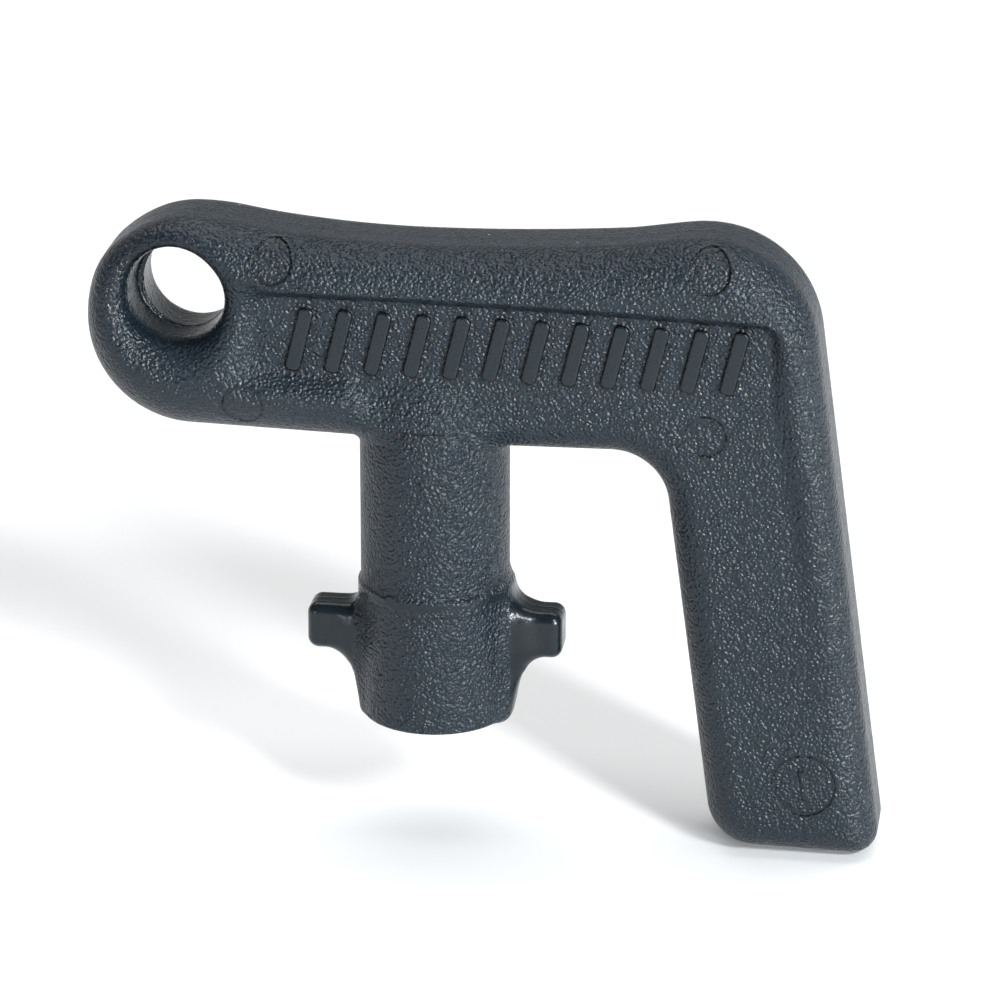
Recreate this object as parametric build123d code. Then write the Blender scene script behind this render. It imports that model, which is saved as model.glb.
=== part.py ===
from build123d import *
import math
import os

# One-piece moulded bayonet key: a round barrel with a lugged nose below a flat
# crossbar handle. The crossbar has a lanyard eye at the -X end and a long flag
# lever turned down at the +X end.
#
# Frame: origin at the centre of the nose's end face, +Z up the barrel axis
# towards the handle, +X towards the lever, -Y is the marked front face.
# The key is a single moulding. It is divided along plain planes into named
# sections that meet face to face.

# ---------------------------------------------------------------- dimensions
BARREL_D = 12.7          # barrel diameter (1/2 inch)
NOSE_R_TOP = 6.53        # nose radius just under the ledge
NOSE_R_END = 6.37        # nose radius at the end face, with mould draft
NOSE_LEDGE_Z = 12.1      # height of the small ledge between nose and barrel
NOSE_EDGE_R = 0.35       # rounding of the end-face edge
DOME_Z0 = 24.3           # where the barrel starts to close under the crossbar
DOME_H = 8.6             # height of the closing dome

RIM_T = 12.0             # thickness of the eye, the top rail and the lever bead
RIM_R = 3.9              # rounding of their outer edges
WEB_T = 9.6              # thickness of the recessed panel and the lever blade
WEB_R = 3.0              # rounding of the blade's outer edges

EYE_X, EYE_Z = -21.10, 37.66   # lanyard hole centre
EYE_R = 4.05                   # lanyard hole radius
EYE_RIM_R = 1.9                # rounded mouth of the hole

LUG_T = 4.0              # lug thickness, along Y
LUG_EDGE_R = 0.80        # rounding of the lug's edges
FIN_X = 6.42             # reach of the fin at the nose's end
LEFT_TIP_X = -10.85      # lug reach to -X
RIGHT_TIP_X = 11.00      # lug reach to +X
LUG_TOP_Z = 9.65
LUG_BOTTOM_Z = 5.65

PIN_D = 3.175            # ejector-pin mark diameter (1/8 inch)
DISC_D = 5.4             # cavity disc on the lever tip
BAR_W, BAR_H = 1.25, 5.6  # plain slanted grip bars on the front panel
BAR_PROUD = 0.35
BAR_COUNT = 12
BAR_PITCH = 3.30
BAR_SLANT = 14.0

CUT_EYE_X = -15.85       # eye | crossbar
CUT_ELBOW_X = 18.0       # crossbar | elbow
CUT_LEVER_Z = 19.2       # elbow | lever arm
CUT_BARREL_Z = 23.6      # crossbar | barrel
CUT_NOSE_Z = 12.75       # barrel | nose, just above the ledge
CUT_LUG_X = 6.75         # nose | lugs

BIG = 200.0


# ---------------------------------------------------------------- helpers
def face_xz(wire_edges):
    """A face in the XZ plane from edges drawn as (x, z)."""
    wire = Wire(wire_edges) if not isinstance(wire_edges, Wire) else wire_edges
    return make_face(wire)


def p(x, z):
    return Vector(x, 0.0, z)


def slab(face, thickness):
    """A face in the XZ plane thickened equally to both sides."""
    return extrude(face, amount=thickness / 2.0, dir=(0, 1, 0), both=True)


def arc3(a, m, b):
    return ThreePointArc(p(*a), p(*m), p(*b))


def box_between(x0, x1, y0, y1, z0, z1):
    return Pos((x0 + x1) / 2.0, (y0 + y1) / 2.0, (z0 + z1) / 2.0) * Box(
        x1 - x0, y1 - y0, z1 - z0)


def y_edges(part, sign):
    """Edges lying in the outermost plane of a slab on one side."""
    bb = part.bounding_box()
    y = bb.max.Y if sign > 0 else bb.min.Y
    return [e for e in part.edges()
            if abs(e.bounding_box().min.Y - y) < 1e-4
            and abs(e.bounding_box().max.Y - y) < 1e-4]


# ---------------------------------------------------------------- outline
EYE_C = (-20.00, 35.05)  # centre of the eye's outer curve
EYE_OUT_R = 9.05         # its radius below and at the left
ELBOW_C = (22.85, 34.30)  # centre of the elbow's outer curve
ELBOW_R = 9.667
LEVER_SLOPE = -0.1343    # dx/dz of both long sides of the lever
LEVER_OUT_X = 37.210     # outer side's x at z = 0
LEVER_IN_X = 22.915      # inner side's x at z = 0
TIP_Z, TIP_SLOPE = -9.305, -0.0240       # lever's end edge: z at x = 0, dz/dx
UNDER_R_Z, UNDER_R_SLOPE = 25.07, 0.0105  # crossbar's underside, lever side
UNDER_L_Z, UNDER_L_SLOPE = 25.455, -0.0184  # crossbar's underside, eye side
TIP_R_OUT = 4.10         # lever tip corner radii
TIP_R_IN = 4.20
BLADE_TIP_R = 3.10       # the blade's own outer tip corner is tighter
INNER_R = 4.80           # inner corner between crossbar and lever
ROOT_R = 1.65            # small roots between crossbar and barrel
STRIP_X = 5.90           # half width of the tongue that runs down the barrel


# top edge, from the eye's left side to the elbow: x, z, heading in degrees
TOP_NODES = [(-29.05, 35.05, 90.0), (-26.75, 41.25, 43.0), (-20.20, 44.03, 0.0),
             (-12.40, 43.11, -6.64), (-1.00, 42.43, 0.0), (15.50, 43.08, 4.45),
             (18.80, 43.52, 9.3)]


def tangent_arcs(q0, a0, q1, a1):
    """Two arcs that join q0 to q1, leave along heading a0, arrive along a1."""
    t0 = (math.cos(a0), math.sin(a0))
    t1 = (math.cos(a1), math.sin(a1))
    v = (q1[0] - q0[0], q1[1] - q0[1])
    tx, tz = t0[0] + t1[0], t0[1] + t1[1]
    vt = v[0] * tx + v[1] * tz
    vv = v[0] ** 2 + v[1] ** 2
    k = 2.0 * (1.0 - (t0[0] * t1[0] + t0[1] * t1[1]))
    if k < 1e-9:
        d = vv / (4.0 * (v[0] * t1[0] + v[1] * t1[1]))
    else:
        d = (-vt + math.sqrt(vt * vt + k * vv)) / k
    joint = ((q0[0] + q1[0] + d * (t0[0] - t1[0])) / 2.0,
             (q0[1] + q1[1] + d * (t0[1] - t1[1])) / 2.0)

    def arc(qa, tdir, qb):
        w = (qb[0] - qa[0], qb[1] - qa[1])
        n = (-tdir[1], tdir[0])
        wn = w[0] * n[0] + w[1] * n[1]
        if abs(wn) < 1e-7:
            return Line(p(*qa), p(*qb))
        r = (w[0] ** 2 + w[1] ** 2) / (2.0 * wn)
        c = (qa[0] + n[0] * r, qa[1] + n[1] * r)
        s0 = math.atan2(qa[1] - c[1], qa[0] - c[0])
        s1 = math.atan2(qb[1] - c[1], qb[0] - c[0])
        turn = (s1 - s0) % (2 * math.pi) if r > 0 else -((s0 - s1) % (2 * math.pi))
        sm = s0 + turn / 2.0
        mid = (c[0] + abs(r) * math.cos(sm), c[1] + abs(r) * math.sin(sm))
        return arc3(qa, mid, qb)

    w = (joint[0] - q0[0], joint[1] - q0[1])
    # heading at the joint: t0 mirrored in the chord q0-joint
    wl = math.hypot(*w)
    u = (w[0] / wl, w[1] / wl)
    dot = t0[0] * u[0] + t0[1] * u[1]
    t_joint = (2 * dot * u[0] - t0[0], 2 * dot * u[1] - t0[1])
    return [arc(q0, t0, joint), arc(joint, t_joint, q1)]


def meet(x0, slope_xz, z0, slope_zx):
    """Crossing of x = x0 + slope_xz*z and z = z0 + slope_zx*x."""
    x = (x0 + slope_xz * z0) / (1.0 - slope_xz * slope_zx)
    return x, z0 + slope_zx * x


def handle_outline(tongue_z=None, tip_r_out=TIP_R_OUT):
    """The handle's outline in the mid-plane. With tongue_z, a tongue with
    rooted corners runs down inside the barrel to that height."""
    ex, ez = EYE_C
    a0 = math.radians(268.95)
    eye_start = (ex + EYE_OUT_R * math.cos(a0), ez + EYE_OUT_R * math.sin(a0))
    am = math.radians(225.0)
    eye_mid = (ex + EYE_OUT_R * math.cos(am), ez + EYE_OUT_R * math.sin(am))
    eye_end = (ex - EYE_OUT_R, ez)
    b0, b1 = math.radians(84.0), math.radians(7.65)
    bm = (b0 + b1) / 2.0
    cx, cz = ELBOW_C
    el_start = (cx + ELBOW_R * math.cos(b0), cz + ELBOW_R * math.sin(b0))
    el_mid = (cx + ELBOW_R * math.cos(bm), cz + ELBOW_R * math.sin(bm))
    el_end = (cx + ELBOW_R * math.cos(b1), cz + ELBOW_R * math.sin(b1))
    low_out = meet(LEVER_OUT_X, LEVER_SLOPE, TIP_Z, TIP_SLOPE)
    low_in = meet(LEVER_IN_X, LEVER_SLOPE, TIP_Z, TIP_SLOPE)
    if tongue_z is None:
        inner = meet(LEVER_IN_X, LEVER_SLOPE, UNDER_L_Z, UNDER_L_SLOPE)
    else:
        inner = meet(LEVER_IN_X, LEVER_SLOPE, UNDER_R_Z, UNDER_R_SLOPE)

    nodes = TOP_NODES + [(el_start[0], el_start[1], 84.0 - 90.0)]
    top_edges = []
    for (xa, za, ha), (xb, zb, hb) in zip(nodes[:-1], nodes[1:]):
        top_edges += tangent_arcs((xa, za), math.radians(ha),
                                  (xb, zb), math.radians(hb))

    edges = [
        arc3(eye_start, eye_mid, eye_end),
        *top_edges,
        arc3(el_start, el_mid, el_end),
        Line(p(*el_end), p(*low_out)),
        Line(p(*low_out), p(*low_in)),
        Line(p(*low_in), p(*inner)),
    ]
    if tongue_z is None:
        edges.append(Line(p(*inner), p(*eye_start)))
    else:
        r_in = (STRIP_X, UNDER_R_Z + UNDER_R_SLOPE * STRIP_X)
        l_in = (-STRIP_X, UNDER_L_Z - UNDER_L_SLOPE * STRIP_X)
        edges.append(Line(p(*inner), p(*r_in)))
        edges.append(Line(p(*r_in), p(STRIP_X, tongue_z)))
        edges.append(Line(p(STRIP_X, tongue_z), p(-STRIP_X, tongue_z)))
        edges.append(Line(p(-STRIP_X, tongue_z), p(*l_in)))
        edges.append(Line(p(*l_in), p(*eye_start)))
    face = face_xz(edges)

    def at(q):
        return [v for v in face.vertices() if (Vector(v) - p(*q)).length < 0.02]

    face = fillet(at(low_out), tip_r_out)
    face = fillet(at(low_in), TIP_R_IN)
    face = fillet(at(inner), INNER_R)
    if tongue_z is not None:
        face = fillet(at(r_in), ROOT_R)
        face = fillet(at(l_in), ROOT_R)
    return face


def pocket_wire():
    """Outline of the recessed panel, open towards the lever's inner side."""
    pts = [(-15.7, 32.4), (-15.5, 38.75), (-2.0, 38.45), (10.0, 38.15),
           (22.0, 37.80), (29.30, 37.35),
           (31.10, 27.50), (34.00, 13.90), (38.90, -2.0), (42.0, -14.0),
           (10.0, -14.0),
           (5.0, 18.0), (5.0, 29.4), (-6.3, 30.6), (-13.6, 30.9)]
    return Polyline(*[p(*q) for q in pts], close=True)


rim_plate = slab(handle_outline(), RIM_T)
rim_plate = fillet(y_edges(rim_plate, +1) + y_edges(rim_plate, -1), RIM_R)
web_plate = slab(handle_outline(tongue_z=15.0, tip_r_out=BLADE_TIP_R), WEB_T)
web_plate = fillet(y_edges(web_plate, +1) + y_edges(web_plate, -1), WEB_R)

pocket_face = face_xz(pocket_wire())
corner_pts = [(-15.5, 38.75), (-13.6, 30.9), (-15.7, 32.4)]
pocket_face = fillet(
    [v for v in pocket_face.vertices()
     if any((Vector(v) - p(*q)).length < 0.01 for q in corner_pts)], 1.3)
pocket_face = fillet(
    [v for v in pocket_face.vertices()
     if (Vector(v) - p(29.30, 37.35)).length < 0.01], 2.4)
pocket = slab(pocket_face, RIM_T + 4.0)

# the frame around the panel: the rim plate less the panel's region
frame = rim_plate - pocket

# ---------------------------------------------------------------- barrel
R = BARREL_D / 2.0
barrel_profile = Wire([
    Line(p(0, NOSE_LEDGE_Z - 1.0), p(R, NOSE_LEDGE_Z - 1.0)),
    Line(p(R, NOSE_LEDGE_Z - 1.0), p(R, DOME_Z0)),
    arc3((R, DOME_Z0), (0.80 * R, DOME_Z0 + 0.60 * DOME_H),
         (0.30 * R, DOME_Z0 + 0.954 * DOME_H)),
    Line(p(0.30 * R, DOME_Z0 + 0.954 * DOME_H), p(0, DOME_Z0 + 0.954 * DOME_H)),
    Line(p(0, DOME_Z0 + 0.954 * DOME_H), p(0, NOSE_LEDGE_Z - 1.0)),
])
barrel_solid = revolve(make_face(barrel_profile), axis=Axis.Z)

# ---------------------------------------------------------------- nose
nose_profile = Wire(Polyline(
    p(0, 0), p(NOSE_R_END, 0), p(NOSE_R_TOP, NOSE_LEDGE_Z), p(0, NOSE_LEDGE_Z),
    close=True))
nose_face = make_face(nose_profile)
nose_face = fillet([v for v in nose_face.vertices()
                    if (Vector(v) - p(NOSE_R_END, 0)).length < 0.01],
                   NOSE_EDGE_R)
nose_face = fillet([v for v in nose_face.vertices()
                    if (Vector(v) - p(NOSE_R_TOP, NOSE_LEDGE_Z)).length < 0.01],
                   0.12)
nose_solid = revolve(nose_face, axis=Axis.Z)


# ---------------------------------------------------------------- lugs
def lug(tip, z_low, z_high, top_points, side):
    """Lug and the tapered fin below it, drawn on the +X side then mirrored."""
    fin = FIN_X if side > 0 else FIN_X - 0.15
    pts = [(2.0, 0.30), (fin, 0.30), (fin + 1.05, 4.10), (fin + 1.55, 5.05),
           (fin + 2.35, z_low), (tip, z_low), (tip, z_high)] + top_points + [
           (2.0, top_points[-1][1])]
    prof = face_xz(Polyline(*[p(*q) for q in pts], close=True))
    tips = [v for v in prof.vertices() if abs(v.X - tip) < 1e-3]
    prof = fillet(tips, 0.9)
    body = slab(prof, LUG_T)
    rim = [e for e in y_edges(body, +1) + y_edges(body, -1)
           if e.bounding_box().max.X > 6.0]
    body = fillet(rim, LUG_EDGE_R)
    return mirror(body, about=Plane.YZ) if side < 0 else body


left_lug_full = lug(-LEFT_TIP_X, LUG_BOTTOM_Z - 0.05, LUG_TOP_Z - 0.05,
                    [(6.95, LUG_TOP_Z - 0.03), (6.45, LUG_TOP_Z + 0.45)], -1)
right_lug_full = lug(RIGHT_TIP_X, LUG_BOTTOM_Z + 0.10, LUG_TOP_Z + 0.15,
                     [(7.95, LUG_TOP_Z + 0.30), (7.15, 10.75), (6.42, 12.05)], +1)

# ---------------------------------------------------------------- union
moulding = frame + web_plate
moulding = moulding + barrel_solid
moulding = moulding + nose_solid
moulding = moulding + left_lug_full
moulding = moulding + right_lug_full

# lanyard hole with rounded mouths: a straight bore that flares at both faces
h_in = RIM_T / 2.0 - EYE_RIM_R          # straight wall ends here, each side
h_out = RIM_T / 2.0
q = EYE_RIM_R * (1.0 - math.cos(math.radians(45.0)))
hole_profile = make_face(Wire([
    Line(Vector(0, -h_out - 2, 0), Vector(EYE_R + EYE_RIM_R, -h_out - 2, 0)),
    Line(Vector(EYE_R + EYE_RIM_R, -h_out - 2, 0),
         Vector(EYE_R + EYE_RIM_R, -h_out, 0)),
    ThreePointArc(Vector(EYE_R + EYE_RIM_R, -h_out, 0),
                  Vector(EYE_R + q, -h_out + q, 0),
                  Vector(EYE_R, -h_in, 0)),
    Line(Vector(EYE_R, -h_in, 0), Vector(EYE_R, h_in, 0)),
    ThreePointArc(Vector(EYE_R, h_in, 0), Vector(EYE_R + q, h_out - q, 0),
                  Vector(EYE_R + EYE_RIM_R, h_out, 0)),
    Line(Vector(EYE_R + EYE_RIM_R, h_out, 0),
         Vector(EYE_R + EYE_RIM_R, h_out + 2, 0)),
    Line(Vector(EYE_R + EYE_RIM_R, h_out + 2, 0), Vector(0, h_out + 2, 0)),
    Line(Vector(0, h_out + 2, 0), Vector(0, -h_out - 2, 0)),
]))
hole = Pos(EYE_X, 0, EYE_Z) * revolve(hole_profile, axis=Axis.Y)
moulding = moulding - hole


# ---------------------------------------------------------------- marks
def front_disc(x, z, d, floor_y):
    """A shallow round recess in the front face, down to y = floor_y."""
    depth = 3.0
    return Pos(x, floor_y - depth / 2.0, z) * (
        Rot(90, 0, 0) * Cylinder(d / 2.0, depth))


marks = [
    (-12.80, 41.50, PIN_D, -4.80),
    (23.50, 42.30, PIN_D, -5.02),
    (23.50, 27.60, PIN_D, -4.66),
    (-15.30, 28.75, PIN_D, -5.78),
    (32.10, -3.40, DISC_D, -4.60),
]
for mx, mz, md, my in marks:
    moulding = moulding - front_disc(mx, mz, md, my)

# plain slanted grip bars, raised from the recessed panel
bar_x0 = -10.6
for i in range(BAR_COUNT):
    bx = bar_x0 + i * BAR_PITCH
    bar = Box(BAR_W, BAR_PROUD + 1.0, BAR_H)
    bar = fillet(bar.edges().filter_by(Axis.Y), 0.55)
    bar = Pos(bx, -WEB_T / 2.0 - BAR_PROUD + (BAR_PROUD + 1.0) / 2.0,
              34.55 - 0.012 * (bx - bar_x0)) * (Rot(0, BAR_SLANT, 0) * bar)
    moulding = moulding + bar

# short plain bar on the cavity disc
moulding = moulding + Pos(32.10, -4.55, -3.40) * (
    Rot(0, -10, 0) * Box(0.5, 0.4, 2.6))

# ---------------------------------------------------------------- sections
z_top, z_bot = 60.0, -30.0
regions = {
    "keyring_eye": box_between(-BIG, CUT_EYE_X, -30, 30, z_bot, z_top),
    "crossbar": box_between(CUT_EYE_X, CUT_ELBOW_X, -30, 30,
                            CUT_BARREL_Z, z_top),
    "elbow": box_between(CUT_ELBOW_X, BIG, -30, 30, CUT_LEVER_Z, z_top),
    "lever_arm": box_between(15.0, BIG, -30, 30, z_bot, CUT_LEVER_Z),
    "barrel": box_between(-14.0, 14.0, -30, 30, CUT_NOSE_Z, CUT_BARREL_Z),
    "nose": box_between(-CUT_LUG_X, CUT_LUG_X, -30, 30, z_bot, CUT_NOSE_Z),
    "left_lug": box_between(-14.0, -CUT_LUG_X, -30, 30, z_bot, CUT_NOSE_Z),
    "right_lug": box_between(CUT_LUG_X, 14.0, -30, 30, z_bot, CUT_NOSE_Z),
}

os.makedirs("parts", exist_ok=True)
total = 0.0
for name, region in regions.items():
    piece = moulding & region
    solids = piece.solids()
    vol = sum(s.volume for s in solids)
    total += vol
    node = solids[0] if len(solids) == 1 else Compound(children=solids)
    node.label = name
    export_step(node, f"parts/{name}.step")
    print(f"{name:12s} solids {len(solids)} volume {vol:9.2f} mm3")
print("moulding", len(moulding.solids()), "solid", round(moulding.volume, 2),
      "sum of sections", round(total, 2))
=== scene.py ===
import math

import bmesh
import bpy
import numpy as np
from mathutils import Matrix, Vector


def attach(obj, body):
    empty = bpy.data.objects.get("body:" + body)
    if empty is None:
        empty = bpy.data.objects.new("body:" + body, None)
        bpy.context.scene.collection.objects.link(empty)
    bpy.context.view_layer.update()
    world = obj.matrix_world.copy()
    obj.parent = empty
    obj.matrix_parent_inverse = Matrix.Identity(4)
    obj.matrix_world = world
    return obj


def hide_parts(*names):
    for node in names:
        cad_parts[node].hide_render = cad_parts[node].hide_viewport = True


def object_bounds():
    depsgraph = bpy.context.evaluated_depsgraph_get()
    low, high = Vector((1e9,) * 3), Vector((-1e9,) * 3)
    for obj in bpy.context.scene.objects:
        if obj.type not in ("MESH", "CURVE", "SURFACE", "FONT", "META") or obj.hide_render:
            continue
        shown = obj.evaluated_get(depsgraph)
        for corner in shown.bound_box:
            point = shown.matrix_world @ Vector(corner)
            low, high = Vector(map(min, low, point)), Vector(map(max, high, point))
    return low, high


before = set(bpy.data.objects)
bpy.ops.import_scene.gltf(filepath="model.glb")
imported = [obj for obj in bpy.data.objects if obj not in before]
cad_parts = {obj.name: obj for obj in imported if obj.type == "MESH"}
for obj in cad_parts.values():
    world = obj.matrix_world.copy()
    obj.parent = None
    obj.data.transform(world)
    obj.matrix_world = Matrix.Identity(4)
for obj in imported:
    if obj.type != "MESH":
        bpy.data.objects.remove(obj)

BOX0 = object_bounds()

# ======================================================================
# Dimensions, in millimetres, in the CAD's own frame: origin at the centre of
# the nose's end face, +Z up the barrel, +X towards the lever, -Y the front.
# ======================================================================
H = 0.16                     # spacing of the surface's grid
BARREL_R = 6.35
NOSE_TOP_R, NOSE_END_R = 6.56, 6.37
LEDGE_Z = 12.1
RIM_HALF, WEB_HALF = 6.0, 4.8
EYE_C, EYE_OUT_R = (-20.00, 35.05), 9.05
HOLE_F = (-21.20, 37.62)     # hole centre in the front half
HOLE_B = (-20.74, 37.62)     # and in the back half: the two mould halves
HOLE_R = 4.02
ELBOW_C, ELBOW_R = (22.85, 34.30), 9.667
LEVER_SLOPE = -0.1343
LEVER_OUT_X, LEVER_IN_X = 37.290, 22.915
TIP_Z, TIP_SLOPE = -9.305, -0.0240
UNDER_R_Z, UNDER_R_SLOPE = 25.07, 0.0105
UNDER_L_Z, UNDER_L_SLOPE = 25.455, -0.0184
TIP_R_OUT, TIP_R_IN, INNER_R = 2.05, 4.2, 4.8
TOP_NODES = [(-29.05, 35.05, 90.0), (-26.75, 41.25, 43.0), (-20.20, 44.03, 0.0),
             (-12.40, 43.11, -6.64), (-1.00, 42.43, 0.0), (15.50, 43.08, 4.45),
             (18.80, 43.52, 9.3)]
# planes between the moulding's named sections, as in the CAD
CUT_EYE_X, CUT_ELBOW_X, CUT_LEVER_Z = -15.85, 18.0, 19.2
CUT_BARREL_Z, CUT_NOSE_Z, CUT_LUG_X = 23.6, 12.75, 6.75


# ======================================================================
# Signed distances in the plane of the key (x, z)
# ======================================================================
def tangent_arcs(q0, a0, q1, a1):
    """Two arcs that join q0 to q1, leaving along a0 and arriving along a1."""
    t0 = np.array([math.cos(a0), math.sin(a0)])
    t1 = np.array([math.cos(a1), math.sin(a1)])
    q0, q1 = np.array(q0, float), np.array(q1, float)
    v, t = q1 - q0, t0 + t1
    k = 2.0 * (1.0 - t0 @ t1)
    vt, vv = v @ t, v @ v
    if k < 1e-9:
        d = vv / (4.0 * (v @ t1))
    else:
        d = (-vt + math.sqrt(vt * vt + k * vv)) / k
    j = (q0 + q1 + d * (t0 - t1)) / 2.0
    u = (j - q0) / np.linalg.norm(j - q0)
    tj = 2 * (t0 @ u) * u - t0
    return [arc_from(q0, t0, j), arc_from(j, tj, q1)]


def arc_from(qa, tdir, qb):
    """The arc that leaves qa along tdir and ends at qb."""
    w = np.array(qb) - np.array(qa)
    n = np.array([-tdir[1], tdir[0]])
    wn = w @ n
    if abs(wn) < 1e-7:
        return ("L", tuple(qa), tuple(qb))
    r = (w @ w) / (2.0 * wn)
    c = np.array(qa) + n * r
    s0 = math.atan2(qa[1] - c[1], qa[0] - c[0])
    s1 = math.atan2(qb[1] - c[1], qb[0] - c[0])
    turn = (s1 - s0) % (2 * math.pi) if r > 0 else -((s0 - s1) % (2 * math.pi))
    return ("A", (c[0], c[1]), abs(r), s0, turn)


def meet(x0, slope_xz, z0, slope_zx):
    x = (x0 + slope_xz * z0) / (1.0 - slope_xz * slope_zx)
    return (x, z0 + slope_zx * x)


def corner(a, b, c, r):
    """Tangent points and arc that round the corner b of a-b-c with radius r."""
    a, b, c = (np.array(q, float) for q in (a, b, c))
    u, v = (a - b) / np.linalg.norm(a - b), (c - b) / np.linalg.norm(c - b)
    half = math.acos(np.clip(u @ v, -1, 1)) / 2.0
    d = r / math.tan(half)
    return b + u * d, arc_from(b + u * d, -u, b + v * d), b + v * d


def outline_prims():
    """The handle's outline as lines and arcs, clockwise."""
    ex, ez = EYE_C
    a0 = math.radians(268.95)
    eye_start = (ex + EYE_OUT_R * math.cos(a0), ez + EYE_OUT_R * math.sin(a0))
    prims = [("A", EYE_C, EYE_OUT_R, a0, math.radians(180.0 - 268.95))]
    b0, b1 = math.radians(84.0), math.radians(7.65)
    cx, cz = ELBOW_C
    el_start = (cx + ELBOW_R * math.cos(b0), cz + ELBOW_R * math.sin(b0))
    el_end = (cx + ELBOW_R * math.cos(b1), cz + ELBOW_R * math.sin(b1))
    nodes = TOP_NODES + [(el_start[0], el_start[1], -6.0)]
    for (xa, za, ha), (xb, zb, hb) in zip(nodes[:-1], nodes[1:]):
        prims += tangent_arcs((xa, za), math.radians(ha), (xb, zb), math.radians(hb))
    prims.append(("A", ELBOW_C, ELBOW_R, b0, b1 - b0))
    low_out = meet(LEVER_OUT_X, LEVER_SLOPE, TIP_Z, TIP_SLOPE)
    low_in = meet(LEVER_IN_X, LEVER_SLOPE, TIP_Z, TIP_SLOPE)
    inner = meet(LEVER_IN_X, LEVER_SLOPE, UNDER_R_Z, UNDER_R_SLOPE)
    r_in = (5.0, UNDER_R_Z + UNDER_R_SLOPE * 5.0)
    l_in = (-5.0, UNDER_L_Z - UNDER_L_SLOPE * 5.0)
    p1, arc1, p2 = corner(el_end, low_out, low_in, TIP_R_OUT)
    p3, arc2, p4 = corner(low_out, low_in, inner, TIP_R_IN)
    p5, arc3, p6 = corner(low_in, inner, r_in, INNER_R)
    prims += [("L", el_end, tuple(p1)), arc1, ("L", tuple(p2), tuple(p3)), arc2,
              ("L", tuple(p4), tuple(p5)), arc3, ("L", tuple(p6), r_in),
              ("L", r_in, l_in), ("L", l_in, eye_start)]
    return prims


def prims_distance(prims, x, z):
    """Signed distance to a clockwise chain of tangent lines and arcs."""
    best = np.full(x.shape, 1e9)
    sign = np.ones(x.shape)
    for pr in prims:
        if pr[0] == "L":
            (ax, az), (bx, bz) = pr[1], pr[2]
            dx, dz = bx - ax, bz - az
            length = math.hypot(dx, dz)
            dx, dz = dx / length, dz / length
            t = np.clip((x - ax) * dx + (z - az) * dz, 0.0, length)
            du = np.hypot(x - ax - t * dx, z - az - t * dz)
            sg = np.sign(-(x - ax) * dz + (z - az) * dx)
        else:
            _, (cx, cz), r, s0, turn = pr
            rho = np.hypot(x - cx, z - cz)
            a = np.arctan2(z - cz, x - cx)
            along = (a - s0) % (2 * math.pi) if turn > 0 else (s0 - a) % (2 * math.pi)
            on = along <= abs(turn)
            du = np.abs(rho - r)
            for e in (s0, s0 + turn):
                px, pz = cx + r * math.cos(e), cz + r * math.sin(e)
                de = np.hypot(x - px, z - pz)
                du = np.where(on, du, np.minimum(np.where(on, du, 1e9), de)
                              if e == s0 else np.minimum(du, de))
            sg = np.sign(rho - r) * (1.0 if turn < 0 else -1.0)
        nearer = du < best - 1e-9
        best = np.where(nearer, du, best)
        sign = np.where(nearer, sg, sign)
    return best * np.where(sign == 0, 1.0, sign)


def poly_distance(pts, x, z):
    """Signed distance to a closed polygon, negative inside."""
    pts = np.array(pts, float)
    best = np.full(x.shape, 1e9)
    inside = np.zeros(x.shape, bool)
    for (ax, az), (bx, bz) in zip(pts, np.roll(pts, -1, 0)):
        dx, dz = bx - ax, bz - az
        t = np.clip(((x - ax) * dx + (z - az) * dz) / (dx * dx + dz * dz), 0, 1)
        best = np.minimum(best, np.hypot(x - ax - t * dx, z - az - t * dz))
        if dz != 0.0:
            cross = ((az > z) != (bz > z)) & (x < dx * (z - az) / dz + ax)
            inside ^= cross
    return np.where(inside, -best, best)


def smooth01(lo, hi, v):
    t = np.clip((v - lo) / (hi - lo), 0.0, 1.0)
    return t * t * (3.0 - 2.0 * t)


# recessed panel on the faces: drawn 1.6 mm inside its edge, then rounded out
PANEL_IN = 1.6
PANEL = [(-14.05, 36.95), (-14.05, 32.55), (-11.9, 32.35), (-6.0, 32.0),
         (0.0, 26.0), (10.0, -16.0), (42.0, -16.0), (37.6, 0.0), (34.2, 8.0),
         (31.6, 16.0), (29.6, 26.5), (28.35, 32.5), (27.75, 35.95),
         (22.0, 36.22), (13.0, 36.55), (0.0, 36.85)]
LUG_HALF = 2.0


LUG_BOX = {1: (11.08, 5.70, 9.80), -1: (10.88, 5.58, 9.64)}   # tip, bottom, top
LUG_ROUND = 0.95


def fin_polygon(side):
    """The tapered fin under a lug and the root above it, inset by FIN_ROUND."""
    if side > 0:
        return [(1.5, 0.86), (5.62, 0.86), (5.92, 1.60), (6.18, 2.50), (6.58, 3.65),
                (7.10, 4.70), (7.35, 6.8), (6.95, 8.9), (6.05, 10.3), (5.40, 11.5),
                (1.5, 11.5)]
    pts = [(1.5, 0.86), (5.30, 0.86), (5.50, 1.60), (5.76, 2.50), (6.10, 3.65),
           (6.62, 4.80), (6.95, 6.3), (6.70, 7.6), (5.5, 8.3), (1.5, 8.3)]
    return [(-x, z) for x, z in pts]


FIN_ROUND = 0.80



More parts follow.
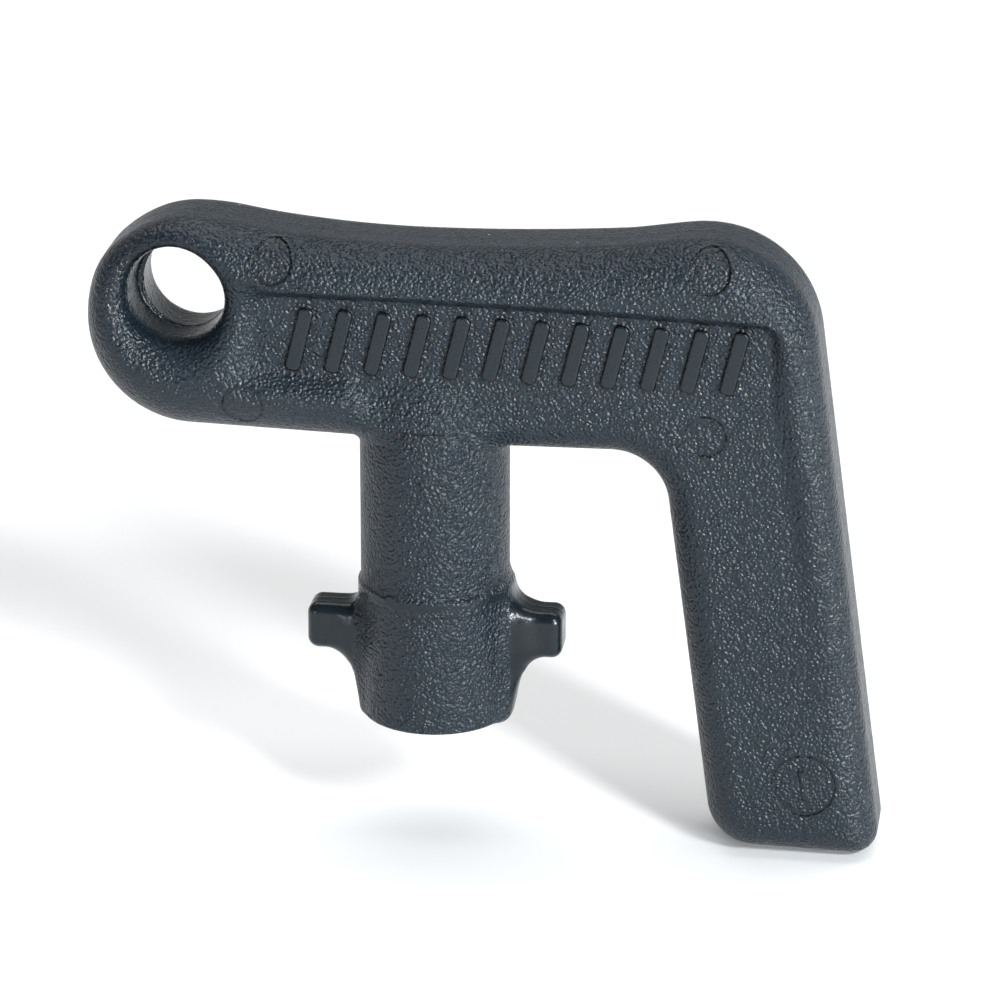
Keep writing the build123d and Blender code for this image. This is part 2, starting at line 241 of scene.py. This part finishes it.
# ======================================================================
# The moulding as one signed field
# ======================================================================
class Plane2D:
    """Fields of (x, z) sampled once on a fine grid, read back smoothly."""

    def __init__(self, x0, z0, nx, nz, step, fields):
        self.x0, self.z0, self.nx, self.nz, self.step = x0, z0, nx, nz, step
        self.f = fields

    def read(self, x, z):
        u = np.clip((x - self.x0) / self.step, 1.0, self.nx - 3.001)
        v = np.clip((z - self.z0) / self.step, 1.0, self.nz - 3.001)
        i, j = u.astype(int), v.astype(int)
        a, b = u - i, v - j

        def weights(t):
            return (-0.5 * t + t * t - 0.5 * t ** 3,
                    1.0 - 2.5 * t * t + 1.5 * t ** 3,
                    0.5 * t + 2.0 * t * t - 1.5 * t ** 3,
                    -0.5 * t * t + 0.5 * t ** 3)

        wa, wb = weights(a), weights(b)
        out = np.zeros((self.f.shape[0],) + x.shape)
        for m in range(4):
            for n in range(4):
                out += self.f[:, i + m - 1, j + n - 1] * (wa[m] * wb[n])
        return out


def make_fields(x, z):
    """Outline distance, half thickness, edge radius, lug distances."""
    d = prims_distance(outline_prims(), x, z)
    dp = poly_distance(PANEL, x, z) - PANEL_IN
    # width of the slope around the panel: crisp under the rail, soft at the
    # lever's bead, at the eye and over the barrel
    w = (1.0 + 1.5 * smooth01(27.5, 30.0, x) * smooth01(37.6, 35.0, z)
         + 2.2 * smooth01(24.0, 8.0, z) * smooth01(20.0, 28.0, x)
         + 2.6 * smooth01(-12.6, -15.4, x)
         + 1.1 * smooth01(34.0, 32.2, z) * smooth01(10.0, 0.0, x)
         + 1.6 * smooth01(-9.0, -3.0, x) * smooth01(34.0, 31.0, z))
    s = smooth01(0.5, -0.5, dp / w)
    rim = RIM_HALF - 0.75 * smooth01(22.0, 2.0, z) * smooth01(20.0, 26.0, x)
    h = rim + (WEB_HALF - rim) * s
    h = h + 0.25 * smooth01(6.0, -6.0, z) * smooth01(20.0, 24.0, x)
    r = 2.9 + 1.1 * np.clip((h - WEB_HALF) / (RIM_HALF - WEB_HALF), 0, 1)
    lr = poly_distance(fin_polygon(1), x, z)
    ll = poly_distance(fin_polygon(-1), x, z)
    return np.stack([d, h, r, lr, ll])


def round_max(a, b, r):
    """Intersection of two bodies with the shared edge rounded to radius r."""
    return (np.minimum(-r, np.maximum(a, b))
            + np.hypot(np.maximum(a + r, 0.0), np.maximum(b + r, 0.0)))


def round_min(a, b, r):
    """Union of two bodies with a fillet of radius r in the shared corner."""
    return (np.maximum(r, np.minimum(a, b))
            - np.hypot(np.maximum(r - a, 0.0), np.maximum(r - b, 0.0)))


def soft_min(a, b, k):
    hgt = np.maximum(k - np.abs(a - b), 0.0) / k
    return np.minimum(a, b) - hgt * hgt * k * 0.25


# x, z, radius and depth below the surface around them
PINS = [(-12.85, 41.15, 1.72, 0.16), (23.52, 41.93, 1.72, 0.18),
        (23.35, 27.55, 1.72, 0.10), (-15.35, 28.75, 1.70, 0.09)]
DISC = (32.15, -3.30, 2.70, 0.12)
BARS = [(-10.6 + 3.30 * i, 34.55 - 0.04 * i) for i in range(12)]
BAR_HALF_W, BAR_HALF_H, BAR_SLANT = 0.62, 2.80, math.radians(14.0)
BAR_PROUD = 0.36


def bar_plan(x, z, cx, cz, hw, hh, slant, rr):
    """Distance in the face's plane to a slanted bar with rounded ends."""
    c, s = math.cos(slant), math.sin(slant)
    u = (x - cx) * c - (z - cz) * s
    v = (x - cx) * s + (z - cz) * c
    qx, qz = np.abs(u) - (hw - rr), np.abs(v) - (hh - rr)
    return (np.hypot(np.maximum(qx, 0), np.maximum(qz, 0))
            + np.minimum(np.maximum(qx, qz), 0) - rr)


def field(x, y, z, f2):
    """The whole moulding's signed field at points, in millimetres."""
    d, h, r, lr, ll = f2
    ay = np.abs(y)
    # handle plate with rounded edges
    q1, q2 = d + r, ay - (h - r)
    plate = (np.hypot(np.maximum(q1, 0), np.maximum(q2, 0))
             + np.minimum(np.maximum(q1, q2), 0) - r)
    # lanyard hole: the two mould halves' bores, slightly out of line
    side = smooth01(-0.05, 0.05, y)
    hx = HOLE_F[0] + (HOLE_B[0] - HOLE_F[0]) * side
    hz = HOLE_F[1] + (HOLE_B[1] - HOLE_F[1]) * side
    reach = np.maximum(np.hypot(x - hx, z - hz), 1e-6)
    # the front mouth is eased further at the bottom and the left
    low = 0.5 - 0.5 * (0.30 * (x - hx) + 0.954 * (z - hz)) / reach
    mouth = (1.6 + 1.9 * low) * (1.0 - side) + 2.3 * side
    plate = round_max(plate, HOLE_R + 0.030 * ay - reach, mouth)
    # barrel, closed by a dome inside the crossbar
    rho = np.hypot(x, y)
    top = np.maximum(z - 24.0, 0.0)
    shrink = 1.0 - np.sqrt(np.maximum(1.0 - (top / 9.0) ** 2, 0.0004))
    barrel = rho - BARREL_R * (1.0 - shrink)
    barrel = np.maximum(barrel, np.maximum((LEDGE_Z - 1.0) - z, z - 32.6))
    body = round_min(plate, barrel, 1.15)
    front_blend = soft_min(plate, barrel, 2.2)
    body = np.where(z > 27.0, np.minimum(body, front_blend), body)
    # nose: a hair larger than the barrel, with draft and an eased end
    nr = NOSE_END_R + (NOSE_TOP_R - NOSE_END_R) * np.clip(z / LEDGE_Z, 0, 1)
    nose = round_max(round_max(rho - nr, -z, 0.32), z - LEDGE_Z, 0.16)
    body = round_min(body, nose, 0.45)
    # lugs and fins
    for side_x, dist in ((1, lr), (-1, ll)):
        q1, q2 = dist, ay - (LUG_HALF - FIN_ROUND)
        fin = (np.hypot(np.maximum(q1, 0), np.maximum(q2, 0))
               + np.minimum(np.maximum(q1, q2), 0) - FIN_ROUND)
        tip, bottom, crest = LUG_BOX[side_x]
        qx = np.abs(side_x * x - (tip + 2.0) / 2) - ((tip - 2.0) / 2 - LUG_ROUND)
        qz = np.abs(z - (bottom + crest) / 2) - ((crest - bottom) / 2 - LUG_ROUND)
        qy = ay - (LUG_HALF - LUG_ROUND)
        box = (np.sqrt(np.maximum(qx, 0) ** 2 + np.maximum(qy, 0) ** 2 + np.maximum(qz, 0) ** 2)
               + np.minimum(np.maximum(np.maximum(qx, qy), qz), 0) - LUG_ROUND)
        body = round_min(body, round_min(fin, box, 1.7), 1.45 if side_x > 0 else 1.05)
    # ejector-pin marks and the cavity disc, sunk into the front face
    for cx, cz, rad, deep in PINS + [DISC]:
        rho2 = np.maximum(np.hypot(x - cx, z - cz) - rad, y)
        body = np.maximum(body, soft_min(-rho2, body + deep, 0.10))
    # raised bars on the front panel, and a short one on the disc
    for cx, cz in BARS:
        plan = bar_plan(x, z, cx, cz, BAR_HALF_W, BAR_HALF_H, BAR_SLANT, 0.45)
        bar = np.maximum(round_max(plan, -y - (WEB_HALF + BAR_PROUD), 0.20), y + 3.0)
        body = round_min(body, bar, 0.16)
    plan = bar_plan(x, z, DISC[0], DISC[1], 0.27, 1.35, math.radians(-9.0), 0.2)
    bar = np.maximum(round_max(plan, -y - (WEB_HALF + 0.26), 0.14), y + 3.0)
    body = round_min(body, bar, 0.12)
    # parting line of the two mould halves
    seam = 0.018 + 0.09 * smooth01(1.2, 0.4, np.abs(np.hypot(x - HOLE_F[0], z - HOLE_F[1]) - HOLE_R))
    body = body - seam * np.exp(-(y / 0.13) ** 2) * smooth01(0.3, 1.2, z + 12.0 * (rho > 9.0))
    return body


# ======================================================================
# Surface of the field: one vertex per crossed cell, then drawn on to it
# ======================================================================
def build_surface():
    lo = np.array([-29.9, -7.2, -11.0])
    hi = np.array([39.4, 7.2, 45.0])
    n = np.ceil((hi - lo) / H).astype(int) + 1
    ax = [lo[k] + H * np.arange(n[k]) for k in range(3)]
    fx = np.concatenate([[ax[0][0] - 2 * H, ax[0][0] - H], ax[0], [ax[0][-1] + H, ax[0][-1] + 2 * H]])
    fz = np.concatenate([[ax[2][0] - 2 * H, ax[2][0] - H], ax[2], [ax[2][-1] + H, ax[2][-1] + 2 * H]])
    gx, gz = np.meshgrid(fx, fz, indexing="ij")
    f2 = make_fields(gx, gz)
    plane = Plane2D(fx[0], fz[0], len(fx), len(fz), H, f2)
    inner = f2[:, 2:-2, 2:-2].astype(np.float32)
    vals = np.empty(tuple(n), np.float32)
    x3 = ax[0].astype(np.float32)[:, None, None]
    z3 = ax[2].astype(np.float32)[None, None, :]
    for j in range(n[1]):
        yy = np.float32(ax[1][j])
        xx = np.broadcast_to(x3[:, 0, :], (n[0], n[2]))
        zz = np.broadcast_to(z3[0, 0, :], (n[0], n[2]))
        vals[:, j, :] = field(xx, np.full_like(xx, yy), zz, inner)
    # cells that the surface crosses
    inside = vals < 0
    c = inside[:-1, :-1, :-1].astype(np.int8)
    c = c + inside[1:, :-1, :-1] + inside[:-1, 1:, :-1] + inside[:-1, :-1, 1:]
    c = c + inside[1:, 1:, :-1] + inside[1:, :-1, 1:] + inside[:-1, 1:, 1:] + inside[1:, 1:, 1:]
    active = (c > 0) & (c < 8)
    index = np.full(active.shape, -1, np.int64)
    cells = np.argwhere(active)
    index[tuple(cells.T)] = np.arange(len(cells))
    # vertex of a cell: mean of its crossed edges' crossings
    acc = np.zeros((len(cells), 3))
    cnt = np.zeros(len(cells))
    for axis in range(3):
        o1, o2 = [k for k in range(3) if k != axis]
        for a in (0, 1):
            for b in (0, 1):
                off = np.zeros(3, int)
                off[o1], off[o2] = a, b
                p0 = cells + off
                p1 = p0.copy()
                p1[:, axis] += 1
                v0 = vals[tuple(p0.T)].astype(float)
                v1 = vals[tuple(p1.T)].astype(float)
                cross = (v0 < 0) != (v1 < 0)
                t = np.where(cross, v0 / np.where(cross, v0 - v1, 1.0), 0.0)
                pt = p0.astype(float)
                pt[:, axis] += t
                acc += np.where(cross[:, None], pt, 0.0)
                cnt += cross
    verts = lo + H * acc / cnt[:, None]
    # a face for each grid edge that the surface crosses
    quads = []
    for axis in range(3):
        o1, o2 = [(1, 2), (2, 0), (0, 1)][axis]
        sl0 = [slice(1, -1)] * 3
        sl0[axis] = slice(0, -1)
        sl1 = list(sl0)
        sl1[axis] = slice(1, None)
        s0, s1 = inside[tuple(sl0)], inside[tuple(sl1)]
        e = np.argwhere(s0 != s1)
        flip = s1[tuple(e.T)]
        base = e.copy()
        for k in range(3):
            if k != axis:
                base[:, k] += 1
        ring = []
        for a, b in ((0, 0), (-1, 0), (-1, -1), (0, -1)):
            q = base.copy()
            q[:, o1] += a
            q[:, o2] += b
            ring.append(index[tuple(q.T)])
        quad = np.stack(ring, 1)
        quad[flip] = quad[flip][:, ::-1]
        quads.append(quad)
    quads = np.concatenate(quads)
    quads = quads[(quads >= 0).all(1)]

    def value(p):
        return field(p[:, 0], p[:, 1], p[:, 2], plane.read(p[:, 0], p[:, 2]))

    def gradient(p, eps=0.02):
        g = np.empty_like(p)
        for k in range(3):
            d = np.zeros(3)
            d[k] = eps
            g[:, k] = (value(p + d) - value(p - d)) / (2 * eps)
        return g

    # draw the vertices on to the surface, evening them out along it
    edges = np.concatenate([quads[:, [0, 1]], quads[:, [1, 2]], quads[:, [2, 3]], quads[:, [3, 0]]])
    deg = np.bincount(edges.ravel(), minlength=len(verts)).astype(float)
    for it in range(3):
        g = gradient(verts)
        gg = np.maximum((g * g).sum(1), 1e-6)
        step = (value(verts) / gg)[:, None] * g
        length = np.linalg.norm(step, axis=1, keepdims=True)
        verts = verts - step * np.minimum(1.0, H / np.maximum(length, 1e-9))
        if it < 2:
            mean = np.zeros_like(verts)
            for k in range(3):
                mean[:, k] = (np.bincount(edges[:, 0], verts[edges[:, 1], k], len(verts))
                              + np.bincount(edges[:, 1], verts[edges[:, 0], k], len(verts))) / deg
            nrm = g / np.sqrt(gg)[:, None]
            d = mean - verts
            verts = verts + 0.6 * (d - (d * nrm).sum(1)[:, None] * nrm)
    return verts, quads, gradient, value


verts, quads, gradient, value = build_surface()


# ======================================================================
# Sections: the surface cut at the CAD's planes, each piece closed
# ======================================================================
def new_mesh(name, v, faces):
    me = bpy.data.meshes.new(name)
    me.vertices.add(len(v))
    me.vertices.foreach_set("co", (v * 0.001).astype(np.float32).ravel())
    me.loops.add(faces.size)
    me.loops.foreach_set("vertex_index", faces.astype(np.int32).ravel())
    me.polygons.add(len(faces))
    me.polygons.foreach_set("loop_start", np.arange(0, faces.size, faces.shape[1], dtype=np.int32))
    me.update(calc_edges=True)
    return me


SECTIONS = {
    "keyring_eye": dict(x1=CUT_EYE_X),
    "crossbar": dict(x0=CUT_EYE_X, x1=CUT_ELBOW_X, z0=CUT_BARREL_Z),
    "elbow": dict(x0=CUT_ELBOW_X, z0=CUT_LEVER_Z),
    "lever_arm": dict(x0=15.0, z1=CUT_LEVER_Z),
    "barrel": dict(x0=-14.0, x1=14.0, z0=CUT_NOSE_Z, z1=CUT_BARREL_Z),
    "nose": dict(x0=-CUT_LUG_X, x1=CUT_LUG_X, z1=CUT_NOSE_Z),
    "left_lug": dict(x0=-14.0, x1=-CUT_LUG_X, z1=CUT_NOSE_Z),
    "right_lug": dict(x0=CUT_LUG_X, x1=14.0, z1=CUT_NOSE_Z),
}


def make_section(name, lim):
    # the part of the surface near the section, then exact cuts at its planes
    c = verts[quads].mean(1)
    pad = 3 * H
    keep = np.ones(len(quads), bool)
    for key, k, s in (("x0", 0, 1), ("x1", 0, -1), ("z0", 2, 1), ("z1", 2, -1)):
        if key in lim:
            keep &= s * (c[:, k] - lim[key]) > -pad
    q = quads[keep]
    used, inv = np.unique(q, return_inverse=True)
    me = new_mesh(name, verts[used], inv.reshape(q.shape))
    bm = bmesh.new()
    bm.from_mesh(me)
    for key, co_i, s in (("x0", 0, 1), ("x1", 0, -1), ("z0", 2, 1), ("z1", 2, -1)):
        if key not in lim:
            continue
        co = Vector((0, 0, 0))
        no = Vector((0, 0, 0))
        co[co_i] = lim[key] * 0.001
        no[co_i] = -s
        geom = bm.verts[:] + bm.edges[:] + bm.faces[:]
        res = bmesh.ops.bisect_plane(bm, geom=geom, dist=1e-7, plane_co=co, plane_no=no,
                                     clear_outer=True, clear_inner=False)
        cut = [e for e in res["geom_cut"] if isinstance(e, bmesh.types.BMEdge) and e.is_valid]
        cut = [e for e in cut if len(e.link_faces) == 1]
        if cut:
            bmesh.ops.holes_fill(bm, edges=cut, sides=0)
    bmesh.ops.triangulate(bm, faces=[f for f in bm.faces if len(f.verts) > 4])
    loose = [v for v in bm.verts if not v.link_faces]
    bmesh.ops.delete(bm, geom=loose, context="VERTS")
    bmesh.ops.recalc_face_normals(bm, faces=bm.faces[:])
    bm.to_mesh(me)
    bm.free()
    me.update()
    ob = bpy.data.objects.new("moulding_" + name, me)
    bpy.context.scene.collection.objects.link(ob)
    # shading normals from the field itself; cut faces keep flat ones
    co = np.empty(len(me.vertices) * 3, np.float32)
    me.vertices.foreach_get("co", co)
    co = co.reshape(-1, 3).astype(float) * 1000.0
    g = gradient(co, 0.03)
    g /= np.maximum(np.linalg.norm(g, axis=1, keepdims=True), 1e-9)
    loops = np.empty(len(me.loops), np.int32)
    me.loops.foreach_get("vertex_index", loops)
    starts = np.empty(len(me.polygons), np.int32)
    me.polygons.foreach_get("loop_start", starts)
    totals = np.empty(len(me.polygons), np.int32)
    me.polygons.foreach_get("loop_total", totals)
    pn = np.empty(len(me.polygons) * 3, np.float32)
    me.polygons.foreach_get("normal", pn)
    pn = pn.reshape(-1, 3)
    pc = np.empty(len(me.polygons) * 3, np.float32)
    me.polygons.foreach_get("center", pc)
    pc = pc.reshape(-1, 3).astype(float) * 1000.0
    cap = np.zeros(len(me.polygons), bool)
    for key, k in (("x0", 0), ("x1", 0), ("z0", 2), ("z1", 2)):
        if key in lim:
            cap |= (np.abs(pc[:, k] - lim[key]) < 1e-3) & (np.abs(pn[:, k]) > 0.999)
    owner = np.repeat(np.arange(len(totals)), totals)
    ln = g[loops]
    ln[cap[owner]] = pn[owner[cap[owner]]]
    me.polygons.foreach_set("use_smooth", np.ones(len(me.polygons), bool))
    me.normals_split_custom_set(ln.astype(np.float32))
    # how strongly each point carries the sparked grain: none on the lugs, on
    # the raised bars' tops or inside the hole
    x, y, z = co.T
    grain = np.ones(len(co))
    lug = smooth01(6.45, 6.95, np.abs(x)) * smooth01(13.0, 12.2, z) * (np.abs(x) < 14.0)
    grain *= 1.0 - lug
    for cx, cz in BARS:
        plan = bar_plan(x, z, cx, cz, BAR_HALF_W, BAR_HALF_H, BAR_SLANT, 0.45)
        grain *= 1.0 - 0.85 * smooth01(0.10, -0.05, plan) * (y < -WEB_HALF - 0.08)
    grain *= 1.0 - 0.8 * smooth01(10.9, 11.5, z) * smooth01(12.12, 12.0, z) * (np.abs(x) < 14.0)
    rho = np.hypot(x - HOLE_F[0], z - HOLE_F[1])
    grain *= 1.0 - 0.7 * smooth01(HOLE_R + 0.9, HOLE_R + 0.25, rho)
    for cx, cz, rad, deep in PINS + [DISC]:
        ring = np.abs(np.hypot(x - cx, z - cz) - rad)
        grain *= 1.0 - 0.6 * smooth01(0.30, 0.10, ring) * (y < -1.0)
    # the spark is deepest on the barrel and nose, gentlest round the eye
    grain *= (0.82 + 0.18 * smooth01(9.0, 6.5, np.abs(x)) * smooth01(33.0, 28.0, z)
              - 0.20 * smooth01(-14.0, -19.0, x))
    # painted shade in crevices: where a point just off the surface is still near a wall, the base colour is
    # darkened as if shaded
    near = value(co + 1.0 * g)
    cavity_shade = np.clip((1.0 - near / 1.0) * 1.7 - 0.08, 0.0, 1.0)
    at = me.attributes.new("cavity_shade", "FLOAT", "POINT")
    at.data.foreach_set("value", cavity_shade.astype(np.float32))
    at = me.attributes.new("grain", "FLOAT", "POINT")
    at.data.foreach_set("value", np.clip(grain, 0, 1).astype(np.float32))
    return ob


pieces = {name: make_section(name, lim) for name, lim in SECTIONS.items()}


# ======================================================================
# Moulded plastic: blue-black, sparked grain, satin; smoother where the mould
# was polished
# ======================================================================
def moulded_plastic():
    mat = bpy.data.materials.new("moulded_plastic")
    mat.use_nodes = True
    nt = mat.node_tree
    for nd in list(nt.nodes):
        nt.nodes.remove(nd)

    def node(kind, **kw):
        nd = nt.nodes.new(kind)
        for key, val in kw.items():
            setattr(nd, key, val)
        return nd

    def link(a, b):
        nt.links.new(a, b)

    def math_node(op, a, b=None, clamp=False):
        nd = node("ShaderNodeMath", operation=op, use_clamp=clamp)
        for i, v in enumerate((a, b)):
            if v is None:
                continue
            if isinstance(v, (int, float)):
                nd.inputs[i].default_value = v
            else:
                link(v, nd.inputs[i])
        return nd.outputs[0]

    out = node("ShaderNodeOutputMaterial")
    bsdf = node("ShaderNodeBsdfPrincipled")
    link(bsdf.outputs[0], out.inputs[0])
    tc = node("ShaderNodeTexCoord")
    pos = tc.outputs["Object"]
    at = node("ShaderNodeAttribute", attribute_name="grain")
    grain_mask = at.outputs["Fac"]

    # cells of the sparked grain, warped so that they are not tidy
    warp = node("ShaderNodeTexNoise")
    warp.inputs["Scale"].default_value = 1400.0
    warp.inputs["Detail"].default_value = 1.0
    link(pos, warp.inputs["Vector"])
    wsub = node("ShaderNodeVectorMath", operation="SUBTRACT")
    link(warp.outputs["Color"], wsub.inputs[0])
    wsub.inputs[1].default_value = (0.5, 0.5, 0.5)
    wscale = node("ShaderNodeVectorMath", operation="SCALE")
    link(wsub.outputs[0], wscale.inputs[0])
    wscale.inputs["Scale"].default_value = 0.00028
    wadd = node("ShaderNodeVectorMath", operation="ADD")
    link(pos, wadd.inputs[0])
    link(wscale.outputs[0], wadd.inputs[1])
    warped = wadd.outputs[0]

    cells = node("ShaderNodeTexVoronoi", feature="SMOOTH_F1")
    cells.inputs["Scale"].default_value = 3450.0
    cells.inputs["Smoothness"].default_value = 0.60
    link(warped, cells.inputs["Vector"])
    fine = node("ShaderNodeTexNoise")
    fine.inputs["Scale"].default_value = 3900.0
    fine.inputs["Detail"].default_value = 1.0
    fine.inputs["Roughness"].default_value = 0.6
    link(pos, fine.inputs["Vector"])
    broad = node("ShaderNodeTexNoise")
    broad.inputs["Scale"].default_value = 1000.0
    broad.inputs["Detail"].default_value = 2.0
    link(pos, broad.inputs["Vector"])

    h1 = math_node("MULTIPLY", cells.outputs["Distance"], -1.0)
    h2 = math_node("MULTIPLY", fine.outputs["Fac"], 0.60)
    h3 = math_node("MULTIPLY", broad.outputs["Fac"], 0.5)
    hsum = math_node("ADD", math_node("ADD", h1, h2), h3)
    hmask = math_node("MULTIPLY", hsum, math_node("ADD", math_node("MULTIPLY", grain_mask, 0.94), 0.06))
    bump = node("ShaderNodeBump")
    bump.inputs["Strength"].default_value = 1.0
    bump.inputs["Distance"].default_value = 0.000215
    link(hmask, bump.inputs["Height"])
    link(bump.outputs[0], bsdf.inputs["Normal"])

    # colour: deep blue-black, a little paler and browner in slow clouds
    cloud = node("ShaderNodeTexNoise")
    cloud.inputs["Scale"].default_value = 120.0
    cloud.inputs["Detail"].default_value = 4.0
    link(pos, cloud.inputs["Vector"])
    ramp = node("ShaderNodeValToRGB")
    ramp.color_ramp.elements[0].position = 0.32
    ramp.color_ramp.elements[0].color = (0.0044, 0.0094, 0.0146, 1)
    ramp.color_ramp.elements[1].position = 0.70
    ramp.color_ramp.elements[1].color = (0.0068, 0.0128, 0.0188, 1)
    link(cloud.outputs["Fac"], ramp.inputs["Fac"])
    # crests of the grain are a touch paler than its valleys
    tint = node("ShaderNodeMix", data_type="RGBA", blend_type="MIX")
    link(math_node("MULTIPLY", math_node("SUBTRACT", hsum, -0.05, clamp=True), grain_mask, clamp=True),
         tint.inputs["Factor"])
    link(ramp.outputs["Color"], tint.inputs["A"])
    tint.inputs["B"].default_value = (0.013, 0.024, 0.036, 1)
    # polished spots scatter less, so they look deeper
    deep = node("ShaderNodeMix", data_type="RGBA", blend_type="MIX")
    link(math_node("MULTIPLY", grain_mask, 1.8, clamp=True), deep.inputs["Factor"])
    deep.inputs["A"].default_value = (0.0040, 0.0080, 0.0108, 1)
    link(tint.outputs["Result"], deep.inputs["B"])
    # a few specks of pale dust
    specks = node("ShaderNodeTexVoronoi", feature="F1")
    specks.inputs["Scale"].default_value = 260.0
    link(pos, specks.inputs["Vector"])
    dust = node("ShaderNodeMix", data_type="RGBA", blend_type="MIX")
    link(math_node("LESS_THAN", specks.outputs["Distance"], 0.026), dust.inputs["Factor"])
    # painted shade: a near-black base colour is blended in by the crevice value, darkening crevices and
    # concave corners
    crevice_shade = node("ShaderNodeMix", data_type="RGBA", blend_type="MIX")
    shade_attr = node("ShaderNodeAttribute", attribute_name="cavity_shade")
    link(shade_attr.outputs["Fac"], crevice_shade.inputs["Factor"])
    link(deep.outputs["Result"], crevice_shade.inputs["A"])
    crevice_shade.inputs["B"].default_value = (0.0012, 0.0018, 0.0024, 1)
    link(crevice_shade.outputs["Result"], dust.inputs["A"])
    dust.inputs["B"].default_value = (0.42, 0.43, 0.44, 1)
    link(dust.outputs["Result"], bsdf.inputs["Base Color"])

    # roughness: satin grain, glossier where the mould was polished
    rr = math_node("ADD", math_node("MULTIPLY", grain_mask, 0.10), 0.245)
    rr = math_node("ADD", rr, math_node("MULTIPLY", math_node("SUBTRACT", broad.outputs["Fac"], 0.5), 0.16))
    link(rr, bsdf.inputs["Roughness"])
    bsdf.inputs["IOR"].default_value = 1.49
    bsdf.inputs["Specular IOR Level"].default_value = 0.38
    return mat


plastic = moulded_plastic()
for name, ob in pieces.items():
    ob.data.materials.append(plastic)
    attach(ob, "root")
    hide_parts(name)


# ======================================================================
# Stage: pale floor, soft studio light, camera
# ======================================================================
def mm(*v):
    return Vector(v) * 0.001


def stage_floor():
    bm = bmesh.new()
    bmesh.ops.create_circle(bm, cap_ends=True, segments=96, radius=0.75)
    me = bpy.data.meshes.new("floor")
    bm.to_mesh(me)
    bm.free()
    ob = bpy.data.objects.new("floor", me)
    bpy.context.scene.collection.objects.link(ob)
    ob.location = (0.0, 0.0, float(BOX0[0][2]) - 0.0002)
    mat = bpy.data.materials.new("floor_paper")
    mat.use_nodes = True
    b = mat.node_tree.nodes["Principled BSDF"]
    b.inputs["Base Color"].default_value = (0.93, 0.93, 0.93, 1)
    b.inputs["Roughness"].default_value = 0.9
    b.inputs["Specular IOR Level"].default_value = 0.1
    me.materials.append(mat)


stage_floor()


def area(name, pos, target, size, power, color=(1, 1, 1)):
    li = bpy.data.lights.new(name, "AREA")
    li.shape = "RECTANGLE"
    li.size, li.size_y = size
    li.energy = power
    li.color = color
    ob = bpy.data.objects.new(name, li)
    ob.location = pos
    ob.rotation_euler = (Vector(target) - Vector(pos)).to_track_quat("-Z", "Y").to_euler()
    bpy.context.scene.collection.objects.link(ob)
    return ob


aim = (0.005, 0.0, 0.018)
area("top_light", (0.00, 0.26, 0.85), (0.0, 0.13, -0.01), (1.30, 0.90), 8.0)
area("key_light", (0.510, -0.566, 0.508), aim, (0.16, 0.16), 6.4, (0.93, 0.97, 1.0))
area("side_light", (0.640, -0.640, 0.135), aim, (0.11, 0.22), 10.0, (0.93, 0.97, 1.0))
area("fill_light", (-0.50, -0.70, 0.17), aim, (0.15, 0.15), 0.9, (0.90, 0.95, 1.0))

world = bpy.data.worlds.new("studio")
world.use_nodes = True
world.node_tree.nodes["Background"].inputs["Color"].default_value = (0.95, 0.97, 1.0, 1)
# paler round the horizon, dimmer overhead
sky = world.node_tree.nodes["Background"]
wtc = world.node_tree.nodes.new("ShaderNodeTexCoord")
wxyz = world.node_tree.nodes.new("ShaderNodeSeparateXYZ")
wmap = world.node_tree.nodes.new("ShaderNodeMapRange")
wmap.inputs["From Min"].default_value = 0.06
wmap.inputs["From Max"].default_value = 0.42
wmap.inputs["To Min"].default_value = 0.72
wmap.inputs["To Max"].default_value = 0.14
world.node_tree.links.new(wtc.outputs["Generated"], wxyz.inputs[0])
world.node_tree.links.new(wxyz.outputs["Z"], wmap.inputs["Value"])
world.node_tree.links.new(wmap.outputs["Result"], sky.inputs["Strength"])
bpy.context.scene.world = world

cam_data = bpy.data.cameras.new("camera")
cam_data.lens = 180.0
cam_data.sensor_width = 36.0
cam_data.clip_start = 0.01
cam_data.clip_end = 50.0
cam = bpy.data.objects.new("camera", cam_data)
cam.location = mm(60.689, -392.356, 167.453)
look = mm(5.547, 0.0, 19.316)
cam.rotation_euler = (look - cam.location).to_track_quat("-Z", "Y").to_euler()
bpy.context.scene.collection.objects.link(cam)
bpy.context.scene.camera = cam
bpy.context.scene.view_settings.view_transform = "Standard"
bpy.context.scene.view_settings.look = "None"
